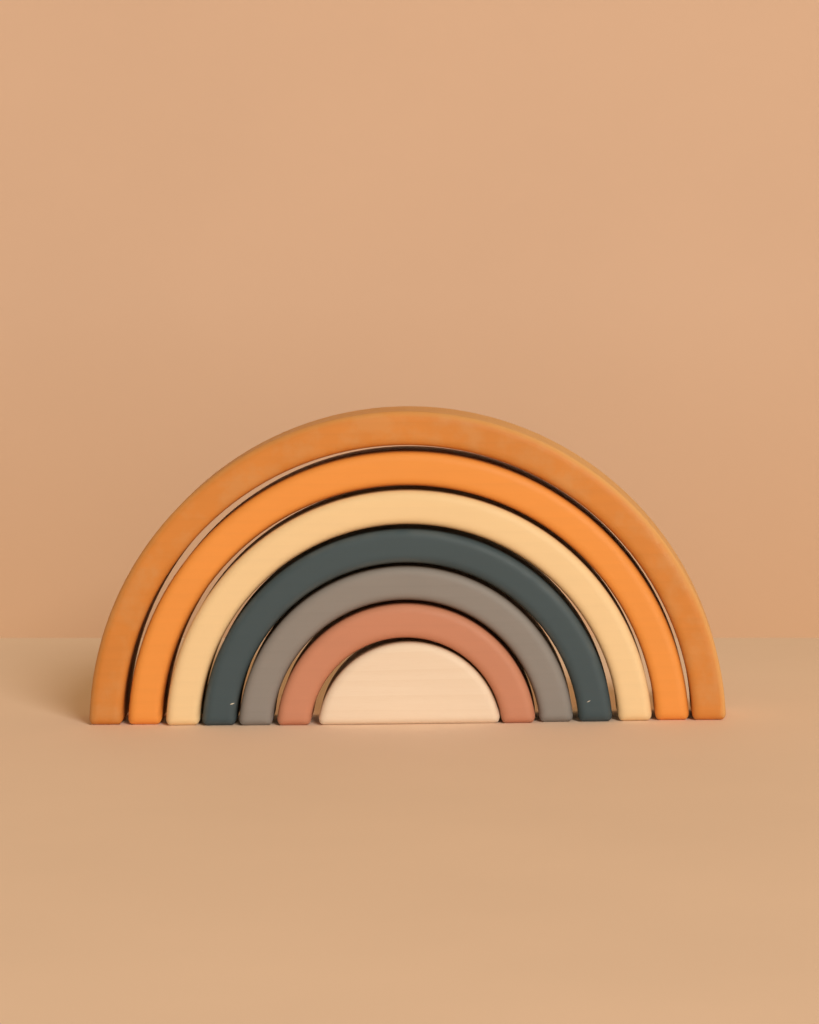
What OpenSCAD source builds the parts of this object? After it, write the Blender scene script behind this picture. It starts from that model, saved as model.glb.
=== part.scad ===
// Nesting rainbow: six loose wooden arches over a solid half round.
// Every piece is sawn from one board, so all have the same depth, and every
// edge is rounded over. Millimetres, +Z up, front towards -Y, floor at z = 0.

/* [Centre piece] */
// Radius of the solid half round in the middle
centre_radius = 37.5; // [24:0.5:60]

/* [Arches] */
// Thickness of an arch along its radius
arch_thickness = 13.8; // [10:0.1:24]
// Room between one piece and the next along the radius
nest_gap = 1.65; // [1:0.05:5]

/* [Board] */
// Depth of every piece from front to back
board_depth = 35; // [20:0.5:60]
// Least wood that the saw and the sander take off a base, above the arcs' centre
base_cut = 2.9; // [0:0.1:5]
// Radius of the round-over on every edge
edge_round = 3; // [1:0.1:4.5]

/* [Hidden] */
$fn = 120;

natural_wood = "#EBD2B2";
rose_stain = "#BE8472";
grey_stain = "#8C8781";
slate_stain = "#4A5A60";
cream_stain = "#F0CF98";
orange_stain = "#E79A4C";
caramel_stain = "#CB8645";

// The feet's round-over starts this far outside the walls, so it meets them in a fine line
foot_run_out = 0.06;

// How far a cutting shape reaches past what it cuts
overrun = 1;

// From one piece's outside to the next one's, along the radius
nest_pitch = arch_thickness + nest_gap;

// How each loose piece stands, from the centre outwards, as shares of the gap:
// to the right, to the front, and turned anticlockwise over the board's depth
lay_right_shares = [0.55, -0.2, -0.35, 0, 0.35, 0.25, 0];
lay_front_shares = [1.55, 1.65, 0.65, 0.45, -0.2, -1.65, -1.55];
lay_turn_shares = [0.4, 0.3, 0.55, 0.35, 0.35, 0.1, 0];
full_turn_in_gap = atan(nest_gap / board_depth);

// What more the sander took off each base, from the centre outwards, as shares of the gap
more_cut_shares = [0.55, 0.5, 0.65, 0.8, 0.7, 0.6, 0];
function cut_of(place) = base_cut + more_cut_shares[place] * nest_gap;

// Outer radius of a piece, counted from the centre piece outwards
function outer_radius(place) = centre_radius + place * nest_pitch;

// Where an arc about the ring's centre passes the middle of the feet's round-over
function foot_rise(cut) = cut + edge_round;
function foot_x(radius, cut) = sqrt(radius * radius - foot_rise(cut) * foot_rise(cut));

// Board section with all four corners rounded over
module rounded_section(width) {
    translate([edge_round, 0])
        square([width - 2 * edge_round, board_depth]);
    translate([0, edge_round])
        square([width, board_depth - 2 * edge_round]);
    for (x = [edge_round, width - edge_round], y = [edge_round, board_depth - edge_round])
        translate([x, y])
            circle(edge_round);
}

// Outline of a foot with its two lower corners rounded, between the walls at the two places
module foot_outline(from_x, to_x) {
    left = from_x + edge_round - foot_run_out;
    right = to_x - edge_round + foot_run_out;
    translate([left, 0])
        square([right - left, edge_round + overrun]);
    for (x = [left, right])
        translate([x, edge_round])
            circle(edge_round);
}

// Everything above the feet's round-over, wide enough for the whole piece
module above_feet(from_x, to_x, height) {
    translate([from_x - overrun, edge_round])
        square([to_x - from_x + 2 * overrun, height]);
}

// The pieces are shaped lying on their backs: x to the right, y up, z over the depth

// Whole ring, or whole disc where the inner radius is zero, turned with rounded rims
module turned_blank(outer, inner, cut) {
    translate([0, -cut])
        rotate_extrude()
            if (inner > 0)
                translate([inner, 0])
                    rounded_section(outer - inner);
            else
                intersection() {
                    translate([-outer, 0])
                        rounded_section(2 * outer);
                    square([outer + overrun, board_depth]);
                }
}

// What the front view leaves standing: the part above the floor, on round-cornered feet
module front_cut(outer, inner, cut) {
    outer_foot = foot_x(outer - edge_round, cut) + edge_round;
    translate([0, 0, -overrun])
        linear_extrude(board_depth + 2 * overrun) {
            above_feet(-outer, outer, outer);
            if (inner > 0)
                for (side = [0, 1])
                    mirror([side, 0])
                        foot_outline(foot_x(inner + edge_round, cut) - edge_round, outer_foot);
            else
                foot_outline(-outer_foot, outer_foot);
        }
}

// What the side view leaves standing: the same round-over along the front and back of the feet
module side_cut(outer) {
    translate([outer + overrun, 0])
        rotate([0, -90, 0])
            linear_extrude(2 * (outer + overrun)) {
                above_feet(0, board_depth, outer);
                foot_outline(0, board_depth);
            }
}

module piece_on_its_back(outer, inner, cut) {
    intersection() {
        turned_blank(outer, inner, cut);
        front_cut(outer, inner, cut);
        side_cut(outer);
    }
}

// Stand a piece up on the floor at its own place in the nest
module standing(place) {
    translate([lay_right_shares[place] * nest_gap, -lay_front_shares[place] * nest_gap])
        rotate(lay_turn_shares[place] * full_turn_in_gap)
            translate([0, board_depth / 2])
                rotate([90, 0, 0])
                    children();
}

module nested_arch(place) {
    outer = outer_radius(place);
    standing(place)
        piece_on_its_back(outer, outer - arch_thickness, cut_of(place));
}

module centre_half_round() {
    color(natural_wood)
        standing(0)
            piece_on_its_back(centre_radius, 0, cut_of(0));
}

module rose_arch() {
    color(rose_stain)
        nested_arch(1);
}

module grey_arch() {
    color(grey_stain)
        nested_arch(2);
}

module slate_arch() {
    color(slate_stain)
        nested_arch(3);
}

module cream_arch() {
    color(cream_stain)
        nested_arch(4);
}

module orange_arch() {
    color(orange_stain)
        nested_arch(5);
}

module caramel_arch() {
    color(caramel_stain)
        nested_arch(6);
}

centre_half_round();
rose_arch();
grey_arch();
slate_arch();
cream_arch();
orange_arch();
caramel_arch();
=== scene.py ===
import math

import bpy
from mathutils import Matrix, Vector


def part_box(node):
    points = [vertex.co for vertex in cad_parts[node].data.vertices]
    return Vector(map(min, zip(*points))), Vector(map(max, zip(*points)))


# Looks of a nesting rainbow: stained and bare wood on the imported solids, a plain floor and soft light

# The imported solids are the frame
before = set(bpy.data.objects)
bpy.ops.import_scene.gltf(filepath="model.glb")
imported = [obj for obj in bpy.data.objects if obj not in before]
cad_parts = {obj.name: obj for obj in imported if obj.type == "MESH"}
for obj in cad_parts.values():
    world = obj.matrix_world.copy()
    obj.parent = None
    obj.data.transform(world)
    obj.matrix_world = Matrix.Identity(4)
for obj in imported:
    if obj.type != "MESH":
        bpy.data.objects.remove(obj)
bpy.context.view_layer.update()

# Picture: the photograph's frame, which the camera's long sensor side spans from top to bottom
PICTURE_HEIGHT_PX = 1024
SENSOR_MM = 36

# Camera: in front of the set, a little to the right of it and above, looking slightly down
CAMERA_PLACE = Vector((0.0701, -1.8057, 0.2538))
CAMERA_LEFTWARD = math.radians(2.168)
CAMERA_DOWNWARD = math.radians(5.335)
CAMERA_ROLL = math.radians(-0.76)
FOCAL_PX = 4432
CLIP_NEAR = 0.05
CLIP_FAR = 20

# Lamps: one large from the front right, one weak from the front, one low behind the set
LAMP_TINT = (1.0, 0.957, 0.852)
LAMP_AIM = Vector((0, 0, 0.05))
KEY_PLACE = Vector((2.77, -6.22, 3.52))
KEY_SIZE = 2.4
KEY_POWER = 361
FRONT_PLACE = Vector((0.3, -3.6, 1.0))
FRONT_SIZE = 1.8
FRONT_POWER = 13
BACK_PLACE = Vector((-0.4, 3.5, 0.45))
BACK_SIZE = 2.0
BACK_POWER = 13

# Room: a warmer light from all round, and the plain colour that a view past the floor's end shows
ROOM_TINT = (1.0, 0.645, 0.29)
ROOM_STRENGTH_LEFT = 0.2
ROOM_STRENGTH_RIGHT = 0.39
ROOM_STRENGTH_BEHIND = 0.36
ROOM_SEEN = (0.7, 0.49, 0.35)

# Stage: a level floor, and a backdrop behind the set, turned so that its foot runs level in the picture
FLOOR_HALF = 9.0
FLOOR_COLOUR = (0.922, 0.704, 0.563)
FLOOR_ROUGHNESS = 0.75
WALL_BEHIND = 0.271
WALL_HALF_WIDTH = 3.0
WALL_HEIGHT = 2.2
WALL_TURN = math.radians(-4.0)
WALL_COLOUR = (0.699, 0.4945, 0.367)
# Painted shade: the backdrop's colour at the floor, and the height in metres by which it fades out
WALL_SHADED_FOOT_COLOUR = (0.658, 0.4365, 0.29)
WALL_SHADE_HEIGHT = 0.16
WALL_ROUGHNESS = 0.9
PAINT_SPECULAR = 0.2
MOTTLE_SIZE = 0.16
MOTTLE_SHARE = 0.02

# Noise: its middle, and the range that most of it lies in
NOISE_MIDDLE = 0.5
NOISE_RANGE = (0.3, 0.7)

# Wood: sizes of its figure in millimetres, and how many times longer grain and pores are than wide
MM_PER_M = 1000
BOARD_SHIFT = Vector((83, 31, 57))
GRAIN_WIDTH = 2.4
GRAIN_STRETCH = 26
RING_HEART = Vector((0, 60, -90))
RING_SPACING = 4.6
RING_WARP = 7.0
RING_WARP_SIZE = 14
RING_SHARPNESS = 3.0
BLOTCH_SIZE = 26
PORE_WIDTH = 0.42
PORE_STRETCH = 12
PORE_RANGE = (0.62, 0.72)

# Relief in metres: grain and pores, and a shading that rounds off the creases at the corners of the feet
RELIEF_STRENGTH = 0.22
RELIEF_DEPTH = 0.00012
CREASE_SOFTENING = 0.0034
CREASE_RAYS = 4

# Painted shade in the gaps: how far in metres a neighbour darkens what faces it, and how much of each colour
# channel is left.
# It sets in between two heights in millimetres, so that the floor doesn't darken the feet.
GAP_REACH = 0.006
GAP_RAYS = 6
GAP_OPEN_RANGE = (0.15, 0.75)
GAP_SHARES_LEFT = (0.5, 0.33, 0.21)
GAP_HEIGHTS = (3, 10)

# Bare wood of the centre piece
BARE_COLOUR = (0.83, 0.687, 0.552)
BARE_LATE_COLOUR = (0.771, 0.611, 0.465)
BARE_PALE_COLOUR = (0.859, 0.727, 0.598)
BARE_GRAIN_RANGE = (0.3, 0.72)
BARE_RING_SHARE = 0.35
BARE_PORE_SHARE = 0.25
BARE_CLOUD_RANGE = (0.35, 0.7)
BARE_CLOUD_SHARE = 0.3
BARE_END_GRAIN_SHARE = 0.3
BARE_ROUGHNESS = 0.55
BARE_ROUGHNESS_SWING = 0.06
BARE_SPECULAR = 0.3

# Stain: its middle tone, its colour at tones 0 and 1, what the rings take and what makes up for that, how far
# it soaks into end grain, and how much the rims are worn
STAIN_MIDDLE = 0.5
STAIN_DARKEST = 0.72
STAIN_LIGHTEST = 1.28
STAIN_RING_SHARE = 0.5
STAIN_RING_MAKE_UP = 0.12
STAIN_SOAKED_SHARE = 0.25
STAIN_SOAKED_SHADE = 0.78
STAIN_WEAR_RANGE = (0.42, 0.66)
STAIN_WEAR_SHARE = 0.05
STAIN_ROUGHNESS = 0.56
STAIN_ROUGHNESS_SWING = 0.05
STAIN_SPECULAR = 0.42

# Haze: pale patches in a thin stain, their size in millimetres
HAZE_SIZE = 13
HAZE_RANGE = (0.46, 0.64)
HAZE_SHADE = 0.8

# Painted sheen: a lighter colour on the outer curve of the largest arch in place of a glossy reflection of
# the room, strongest down its right side
SHEEN_FACING_RANGE = (0.25, 0.9)
SHEEN_RIGHTWARD_RANGE = (-0.5, 0.5)
SHEEN_MOST_SHARE = 0.9
SHEEN_LEAST_SHARE = 0.4

# Chips: width and reach into the wood in millimetres, and the part of a chip about its middle that is bare
CHIP_WIDTH = 0.52
CHIP_REACH = 10
CHIP_BARE_PART = 0.4
CHIP_SHARE = 0.9
WOOD_UNDER_STAIN = (0.88, 0.8, 0.68)


def node(tree, kind, inputs=None, **settings):
    """Adds a node; an input is a number, a colour or another node's socket."""
    made = tree.nodes.new(kind)
    for name, value in settings.items():
        setattr(made, name, value)
    for key, value in (inputs or {}).items():
        if isinstance(value, bpy.types.NodeSocket):
            tree.links.new(value, made.inputs[key])
        else:
            made.inputs[key].default_value = value
    return made


def calc(tree, operation, *values):
    return node(tree, "ShaderNodeMath", dict(enumerate(values)), operation=operation).outputs[0]


def calc_vector(tree, operation, *values):
    made = node(tree, "ShaderNodeVectorMath", dict(enumerate(values)), operation=operation)
    return made.outputs["Value" if operation in ("LENGTH", "DOT_PRODUCT") else "Vector"]


def axis_of(tree, vector, axis):
    return node(tree, "ShaderNodeSeparateXYZ", {0: vector}).outputs[axis]


def object_normal(tree):
    return node(tree, "ShaderNodeTexCoord").outputs["Normal"]


def noise(tree, place, size, detail=2.0, roughness=0.5):
    """Noise with lumps of about that size, in the units of place."""
    inputs = {"Vector": place, "Scale": 1 / size, "Detail": detail, "Roughness": roughness}
    return node(tree, "ShaderNodeTexNoise", inputs).outputs["Fac"]


def spread(tree, value, low, high, to_low=0.0, to_high=1.0):
    """Maps the range from low to high onto another, and keeps the result within it."""
    inputs = {"Value": value, "From Min": low, "From Max": high, "To Min": to_low, "To Max": to_high}
    return node(tree, "ShaderNodeMapRange", inputs).outputs["Result"]


def mix_colour(tree, share, first, second):
    """The first colour, with that share of the second."""
    made = node(tree, "ShaderNodeMix", {"Factor": share}, data_type="RGBA")
    first_socket, second_socket = [s for s in made.inputs if s.type == "RGBA"]
    for socket, colour in ((first_socket, first), (second_socket, second)):
        if isinstance(colour, bpy.types.NodeSocket):
            tree.links.new(colour, socket)
        else:
            socket.default_value = (*colour, 1.0)
    return next(s for s in made.outputs if s.type == "RGBA")


def shade(colour, factor):
    return tuple(channel * factor for channel in colour)


def new_material(name):
    """A material with one principled shader; returns it, its tree and the shader."""
    material = bpy.data.materials.new(name)
    material.use_nodes = True
    tree = material.node_tree
    tree.nodes.clear()
    shader = node(tree, "ShaderNodeBsdfPrincipled")
    node(tree, "ShaderNodeOutputMaterial", {"Surface": shader.outputs["BSDF"]})
    return material, tree, shader


def wood_figure(tree, board):
    """Grain, rings, blotches and pores of one board, from its own solid space in millimetres."""
    place = node(tree, "ShaderNodeTexCoord").outputs["Object"]
    solid = calc_vector(tree, "MULTIPLY", place, (MM_PER_M,) * 3)
    shifted = calc_vector(tree, "ADD", solid, board * BOARD_SHIFT)
    along = calc_vector(tree, "MULTIPLY", shifted, (1 / GRAIN_STRETCH, 1, 1))
    fine = calc_vector(tree, "MULTIPLY", shifted, (1 / PORE_STRETCH, 1, 1))
    warp = calc(tree, "MULTIPLY", noise(tree, along, RING_WARP_SIZE), RING_WARP)
    from_heart = calc_vector(tree, "SUBTRACT", solid, RING_HEART)
    across = calc_vector(tree, "MULTIPLY", from_heart, (0, 1, 1))
    radius = calc(tree, "ADD", calc_vector(tree, "LENGTH", across), warp)
    ring = calc(tree, "FRACT", calc(tree, "DIVIDE", radius, RING_SPACING))
    return {
        "solid": solid,
        "grain": noise(tree, along, GRAIN_WIDTH, detail=5, roughness=0.62),
        "ring": calc(tree, "POWER", ring, RING_SHARPNESS),
        "blotch": noise(tree, shifted, BLOTCH_SIZE, detail=3, roughness=0.55),
        "pore": spread(tree, noise(tree, fine, PORE_WIDTH, detail=1), *PORE_RANGE),
    }


def rim_mask(tree):
    """One halfway round the round-over between a piece's face and its sides, zero on both."""
    toward = axis_of(tree, object_normal(tree), "Y")
    square = calc(tree, "MULTIPLY", toward, toward)
    hump = calc(tree, "MULTIPLY", square, calc(tree, "SUBTRACT", 1.0, square))
    highest_hump = 0.25
    return calc(tree, "DIVIDE", hump, highest_hump)


def end_grain_mask(tree):
    """One where the surface cuts straight across the grain, as on the outsides of the legs."""
    along = axis_of(tree, object_normal(tree), "X")
    return calc(tree, "MULTIPLY", along, along)


def painted_sheen_mask(tree, solid):
    """Share of the painted sheen on the outer curve of an arch, most down its right side, toward the light.
    """
    normal = object_normal(tree)
    outward = calc_vector(tree, "NORMALIZE", calc_vector(tree, "MULTIPLY", solid, (1, 0, 1)))
    facing = calc_vector(tree, "DOT_PRODUCT", normal, outward)
    outer = spread(tree, facing, *SHEEN_FACING_RANGE)
    rightward = axis_of(tree, normal, "X")
    share = spread(tree, rightward, *SHEEN_RIGHTWARD_RANGE, 0.0, SHEEN_MOST_SHARE)
    return calc(tree, "MULTIPLY", outer, calc(tree, "MAXIMUM", share, SHEEN_LEAST_SHARE))


def chip_mask(tree, solid, middle, slant, length):
    """A short scratch in the stain: a thin slanted dash at that place, in millimetres."""
    off = calc_vector(tree, "SUBTRACT", solid, middle)
    turned = node(tree, "ShaderNodeVectorRotate", {"Vector": off, "Angle": slant}, rotation_type="Y_AXIS")
    to_unit_ball = (2 / length, 2 / CHIP_REACH, 2 / CHIP_WIDTH)
    shrunk = calc_vector(tree, "MULTIPLY", turned.outputs["Vector"], to_unit_ball)
    return spread(tree, calc_vector(tree, "LENGTH", shrunk), 1.0, CHIP_BARE_PART, 0.0, CHIP_SHARE)


def paint_gap_shade(tree, solid, colour):
    """Painted shade: what faces a close neighbour is darkened in its colour, because little light gets
    between two pieces.
    """
    at_foot = spread(tree, axis_of(tree, solid, "Z"), *GAP_HEIGHTS, 1.0, 0.0)
    reach = {"Distance": GAP_REACH}
    open_share = node(tree, "ShaderNodeAmbientOcclusion", reach, samples=GAP_RAYS).outputs["AO"]
    kept = calc(tree, "MAXIMUM", spread(tree, open_share, *GAP_OPEN_RANGE), at_foot)
    return mix_colour(tree, kept, calc_vector(tree, "MULTIPLY", colour, GAP_SHARES_LEFT), colour)


def add_roughness(tree, shader, figure, roughness, swing):
    """Roughness that follows the grain, up and down by the swing."""
    follows = spread(tree, figure["grain"], *NOISE_RANGE, roughness - swing, roughness + swing)
    tree.links.new(follows, shader.inputs["Roughness"])


def add_relief(tree, shader, figure, grain_share, pore_share):
    """Fine raised grain and open pores, on normals that are eased across creases."""
    raised = calc(tree, "MULTIPLY", figure["grain"], grain_share)
    sunk = calc(tree, "MULTIPLY", figure["pore"], pore_share)
    eased = node(tree, "ShaderNodeBevel", {"Radius": CREASE_SOFTENING}, samples=CREASE_RAYS)
    bump = node(tree, "ShaderNodeBump", {
        "Height": calc(tree, "SUBTRACT", raised, sunk),
        "Strength": RELIEF_STRENGTH,
        "Distance": RELIEF_DEPTH,
        "Normal": eased.outputs["Normal"],
    })
    tree.links.new(bump.outputs["Normal"], shader.inputs["Normal"])


def bare_wood(name, board):
    """Bare sanded wood: fine level grain, darker late-wood lines and small pores."""
    material, tree, shader = new_material(name)
    figure = wood_figure(tree, board)
    tone = spread(tree, figure["grain"], *BARE_GRAIN_RANGE)
    wood = mix_colour(tree, tone, BARE_COLOUR, BARE_PALE_COLOUR)
    lines = calc(tree, "MULTIPLY", figure["ring"], BARE_RING_SHARE)
    wood = mix_colour(tree, lines, wood, BARE_LATE_COLOUR)
    pores = calc(tree, "MULTIPLY", figure["pore"], BARE_PORE_SHARE)
    wood = mix_colour(tree, pores, wood, BARE_LATE_COLOUR)
    cloud = spread(tree, figure["blotch"], *BARE_CLOUD_RANGE, 0.0, BARE_CLOUD_SHARE)
    wood = mix_colour(tree, cloud, wood, BARE_COLOUR)
    ends = calc(tree, "MULTIPLY", end_grain_mask(tree), BARE_END_GRAIN_SHARE)
    wood = mix_colour(tree, ends, wood, BARE_LATE_COLOUR)
    tree.links.new(paint_gap_shade(tree, figure["solid"], wood), shader.inputs["Base Color"])
    shader.inputs["Specular IOR Level"].default_value = BARE_SPECULAR
    add_roughness(tree, shader, figure, BARE_ROUGHNESS, BARE_ROUGHNESS_SWING)
    add_relief(tree, shader, figure, grain_share=0.7, pore_share=0.5)
    return material


def either_way(tree, value, share):
    """A noise about zero, by up to that share up or down."""
    return calc(tree, "MULTIPLY", calc(tree, "SUBTRACT", value, NOISE_MIDDLE), share / NOISE_MIDDLE)


def stain_tone(tree, figure, figure_share, blotch_share):
    """How light the stain is, from 0 to 1: its middle, and what grain, rings and blotches change."""
    streak = either_way(tree, figure["grain"], figure_share)
    rings = calc(tree, "MULTIPLY", figure["ring"], -figure_share * STAIN_RING_SHARE)
    cloud = either_way(tree, figure["blotch"], blotch_share)
    clouded = calc(tree, "ADD", cloud, STAIN_MIDDLE + figure_share * STAIN_RING_MAKE_UP)
    return calc(tree, "ADD", calc(tree, "ADD", streak, rings), clouded)


def stained_wood(name, board, colour, worn, figure_share, blotch_share, haze=0.0, sheen_colour=None, chips=()):
    """Satin stain on wood, which shows through it: a little thinner on the rims, deeper on end grain."""
    material, tree, shader = new_material(name)
    figure = wood_figure(tree, board)
    solid = figure["solid"]
    tone = stain_tone(tree, figure, figure_share, blotch_share)
    stain = mix_colour(tree, tone, shade(colour, STAIN_DARKEST), shade(colour, STAIN_LIGHTEST))
    if haze:
        lumps = noise(tree, solid, HAZE_SIZE, detail=4, roughness=0.6)
        patches = spread(tree, lumps, *HAZE_RANGE, 0.0, haze)
        stain = mix_colour(tree, patches, stain, shade(worn, HAZE_SHADE))
    soaked = calc(tree, "MULTIPLY", end_grain_mask(tree), STAIN_SOAKED_SHARE)
    stain = mix_colour(tree, soaked, stain, shade(colour, STAIN_SOAKED_SHADE))
    wear = spread(tree, figure["blotch"], *STAIN_WEAR_RANGE, 0.0, STAIN_WEAR_SHARE)
    stain = mix_colour(tree, calc(tree, "MULTIPLY", rim_mask(tree), wear), stain, worn)
    # The outer curve gets a painted sheen: a lighter colour that stands in for a glossy reflection
    if sheen_colour:
        stain = mix_colour(tree, painted_sheen_mask(tree, solid), stain, sheen_colour)
    for chip in chips:
        stain = mix_colour(tree, chip_mask(tree, solid, **chip), stain, WOOD_UNDER_STAIN)
    tree.links.new(paint_gap_shade(tree, solid, stain), shader.inputs["Base Color"])
    shader.inputs["Specular IOR Level"].default_value = STAIN_SPECULAR
    add_roughness(tree, shader, figure, STAIN_ROUGHNESS, STAIN_ROUGHNESS_SWING)
    add_relief(tree, shader, figure, grain_share=0.5, pore_share=0.25)
    return material


def rose_stain():
    rose = (0.564, 0.244, 0.1515)
    return stained_wood(
        "rose_stain", board=2, colour=rose, worn=shade(rose, 1.2),
        figure_share=0.06, blotch_share=0.05,
    )


def grey_stain():
    grey = (0.2545, 0.239, 0.2335)
    return stained_wood(
        "grey_stain", board=3, colour=grey, worn=shade(grey, 1.25),
        figure_share=0.08, blotch_share=0.06,
    )


def slate_stain():
    """Slate, with a small chip low on the front of each leg."""
    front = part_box("slate_arch")[0].y * MM_PER_M
    left_chip = {"middle": (-70.8, front, 9.1), "slant": 0.25, "length": 2.2}
    right_chip = {"middle": (74.3, front, 8.6), "slant": 0.45, "length": 2.3}
    return stained_wood(
        "slate_stain", board=4, colour=(0.0456, 0.0766, 0.097), worn=WOOD_UNDER_STAIN,
        figure_share=0.08, blotch_share=0.08, chips=(left_chip, right_chip),
    )


def cream_stain():
    return stained_wood(
        "cream_stain", board=5, colour=(0.866, 0.643, 0.366), worn=(0.9, 0.68, 0.42),
        figure_share=0.05, blotch_share=0.04,
    )


def orange_stain():
    return stained_wood(
        "orange_stain", board=6, colour=(0.84, 0.319, 0.0604), worn=(0.87, 0.4, 0.13),
        figure_share=0.06, blotch_share=0.06,
    )


def caramel_stain():
    """Caramel, thin enough for the wood to show in patches, with a painted sheen on its outer curve."""
    return stained_wood(
        "caramel_stain", board=7, colour=(0.646, 0.237, 0.0415), worn=(0.78, 0.4, 0.15),
        figure_share=0.09, blotch_share=0.22, haze=0.36, sheen_colour=(0.8, 0.45, 0.17),
    )


def dress(piece_name, material):
    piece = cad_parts[piece_name]
    piece.data.materials.clear()
    piece.data.materials.append(material)


def dress_pieces():
    dress("centre_half_round", bare_wood("natural_wood", board=1))
    dress("rose_arch", rose_stain())
    dress("grey_arch", grey_stain())
    dress("slate_arch", slate_stain())
    dress("cream_arch", cream_stain())
    dress("orange_arch", orange_stain())
    dress("caramel_arch", caramel_stain())


def mottled(tree, place, colour):
    """Paint with a very faint mottle."""
    mottle = spread(tree, noise(tree, place, MOTTLE_SIZE, detail=3), *NOISE_RANGE)
    return mix_colour(tree, mottle, shade(colour, 1 - MOTTLE_SHARE), shade(colour, 1 + MOTTLE_SHARE))


def matte_finish(tree, shader, paint, roughness):
    tree.links.new(paint, shader.inputs["Base Color"])
    shader.inputs["Roughness"].default_value = roughness
    shader.inputs["Specular IOR Level"].default_value = PAINT_SPECULAR


def floor_paint():
    material, tree, shader = new_material("floor_paint")
    place = node(tree, "ShaderNodeTexCoord").outputs["Object"]
    matte_finish(tree, shader, mottled(tree, place, FLOOR_COLOUR), FLOOR_ROUGHNESS)
    return material


def backdrop_paint():
    """Paint with painted shade, darker and warmer near the floor, which isn't seen from behind."""
    material, tree, shader = new_material("backdrop_paint")
    place = node(tree, "ShaderNodeTexCoord").outputs["Object"]
    foot_shade_share = spread(tree, axis_of(tree, place, "Z"), 0.0, WALL_SHADE_HEIGHT, 1.0, 0.0)
    paint = mix_colour(tree, foot_shade_share, mottled(tree, place, WALL_COLOUR), WALL_SHADED_FOOT_COLOUR)
    matte_finish(tree, shader, paint, WALL_ROUGHNESS)
    behind = node(tree, "ShaderNodeNewGeometry").outputs["Backfacing"]
    clear = node(tree, "ShaderNodeBsdfTransparent").outputs["BSDF"]
    shown = node(tree, "ShaderNodeMixShader", {0: behind, 1: shader.outputs["BSDF"], 2: clear})
    output = next(n for n in tree.nodes if n.type == "OUTPUT_MATERIAL")
    tree.links.new(shown.outputs[0], output.inputs["Surface"])
    return material


def staged_sheet(name, corners, material):
    mesh = bpy.data.meshes.new(name)
    mesh.from_pydata([tuple(c) for c in corners], [], [tuple(range(len(corners)))])
    mesh.materials.append(material)
    sheet = bpy.data.objects.new(name, mesh)
    bpy.context.scene.collection.objects.link(sheet)
    return sheet


def set_stage():
    """Floor and backdrop; the backdrop casts no shadow and throws no light onto the back of the set."""
    f = FLOOR_HALF
    floor_corners = [(-f, -f, 0), (f, -f, 0), (f, f, 0), (-f, f, 0)]
    staged_sheet("floor", floor_corners, floor_paint())
    w = WALL_HALF_WIDTH
    flat = [(-w, 0, 0), (w, 0, 0), (w, 0, WALL_HEIGHT), (-w, 0, WALL_HEIGHT)]
    turned = [Matrix.Rotation(WALL_TURN, 3, "Z") @ Vector(c) for c in flat]
    wall_corners = [c + Vector((0, WALL_BEHIND, 0)) for c in turned]
    backdrop = staged_sheet("backdrop", wall_corners, backdrop_paint())
    backdrop.visible_shadow = False
    backdrop.visible_diffuse = False


def set_room():
    """Light from all round, stronger from the right and from behind."""
    world = bpy.context.scene.world or bpy.data.worlds.new("room")
    bpy.context.scene.world = world
    world.use_nodes = True
    tree = world.node_tree
    tree.nodes.clear()
    toward = node(tree, "ShaderNodeTexCoord").outputs["Generated"]
    sides = spread(tree, axis_of(tree, toward, "X"), -1.0, 1.0, ROOM_STRENGTH_LEFT, ROOM_STRENGTH_RIGHT)
    behind = spread(tree, axis_of(tree, toward, "Y"), 0.0, 1.0, 0.0, ROOM_STRENGTH_BEHIND)
    strength = calc(tree, "ADD", sides, behind)
    light = node(tree, "ShaderNodeBackground", {"Color": (*ROOM_TINT, 1), "Strength": strength})
    seen = node(tree, "ShaderNodeBackground", {"Color": (*ROOM_SEEN, 1)})
    looking = node(tree, "ShaderNodeLightPath").outputs["Is Camera Ray"]
    room = node(tree, "ShaderNodeMixShader", {0: looking, 1: light.outputs[0], 2: seen.outputs[0]})
    node(tree, "ShaderNodeOutputWorld", {"Surface": room.outputs[0]})


def add_lamp(name, place, size, power, glossy=True):
    """A round soft box that looks at the set and isn't seen itself, or in reflections if not glossy."""
    lamp = bpy.data.lights.new(name, "AREA")
    lamp.shape = "DISK"
    lamp.size = size
    lamp.energy = power
    lamp.color = LAMP_TINT
    holder = bpy.data.objects.new(name, lamp)
    holder.location = place
    holder.rotation_mode = "QUATERNION"
    holder.rotation_quaternion = (LAMP_AIM - place).to_track_quat("-Z", "Y")
    holder.visible_camera = False
    holder.visible_glossy = glossy
    bpy.context.scene.collection.objects.link(holder)


def set_lamps():
    add_lamp("key", KEY_PLACE, KEY_SIZE, KEY_POWER)
    add_lamp("front", FRONT_PLACE, FRONT_SIZE, FRONT_POWER)
    add_lamp("back", BACK_PLACE, BACK_SIZE, BACK_POWER, glossy=False)


def set_camera():
    level = math.cos(CAMERA_DOWNWARD)
    forward = Vector((
        -math.sin(CAMERA_LEFTWARD) * level,
        math.cos(CAMERA_LEFTWARD) * level,
        -math.sin(CAMERA_DOWNWARD),
    ))
    data = bpy.data.cameras.new("camera")
    data.sensor_width = SENSOR_MM
    data.lens = FOCAL_PX * SENSOR_MM / PICTURE_HEIGHT_PX
    data.clip_start = CLIP_NEAR
    data.clip_end = CLIP_FAR
    camera = bpy.data.objects.new("camera", data)
    camera.rotation_mode = "QUATERNION"
    look = forward.to_track_quat("-Z", "Y")
    camera.rotation_quaternion = look @ Matrix.Rotation(CAMERA_ROLL, 3, "Z").to_quaternion()
    camera.location = CAMERA_PLACE
    bpy.context.scene.collection.objects.link(camera)
    bpy.context.scene.camera = camera


dress_pieces()
set_stage()
set_room()
set_lamps()
set_camera()
bpy.context.scene.view_settings.view_transform = "Standard"
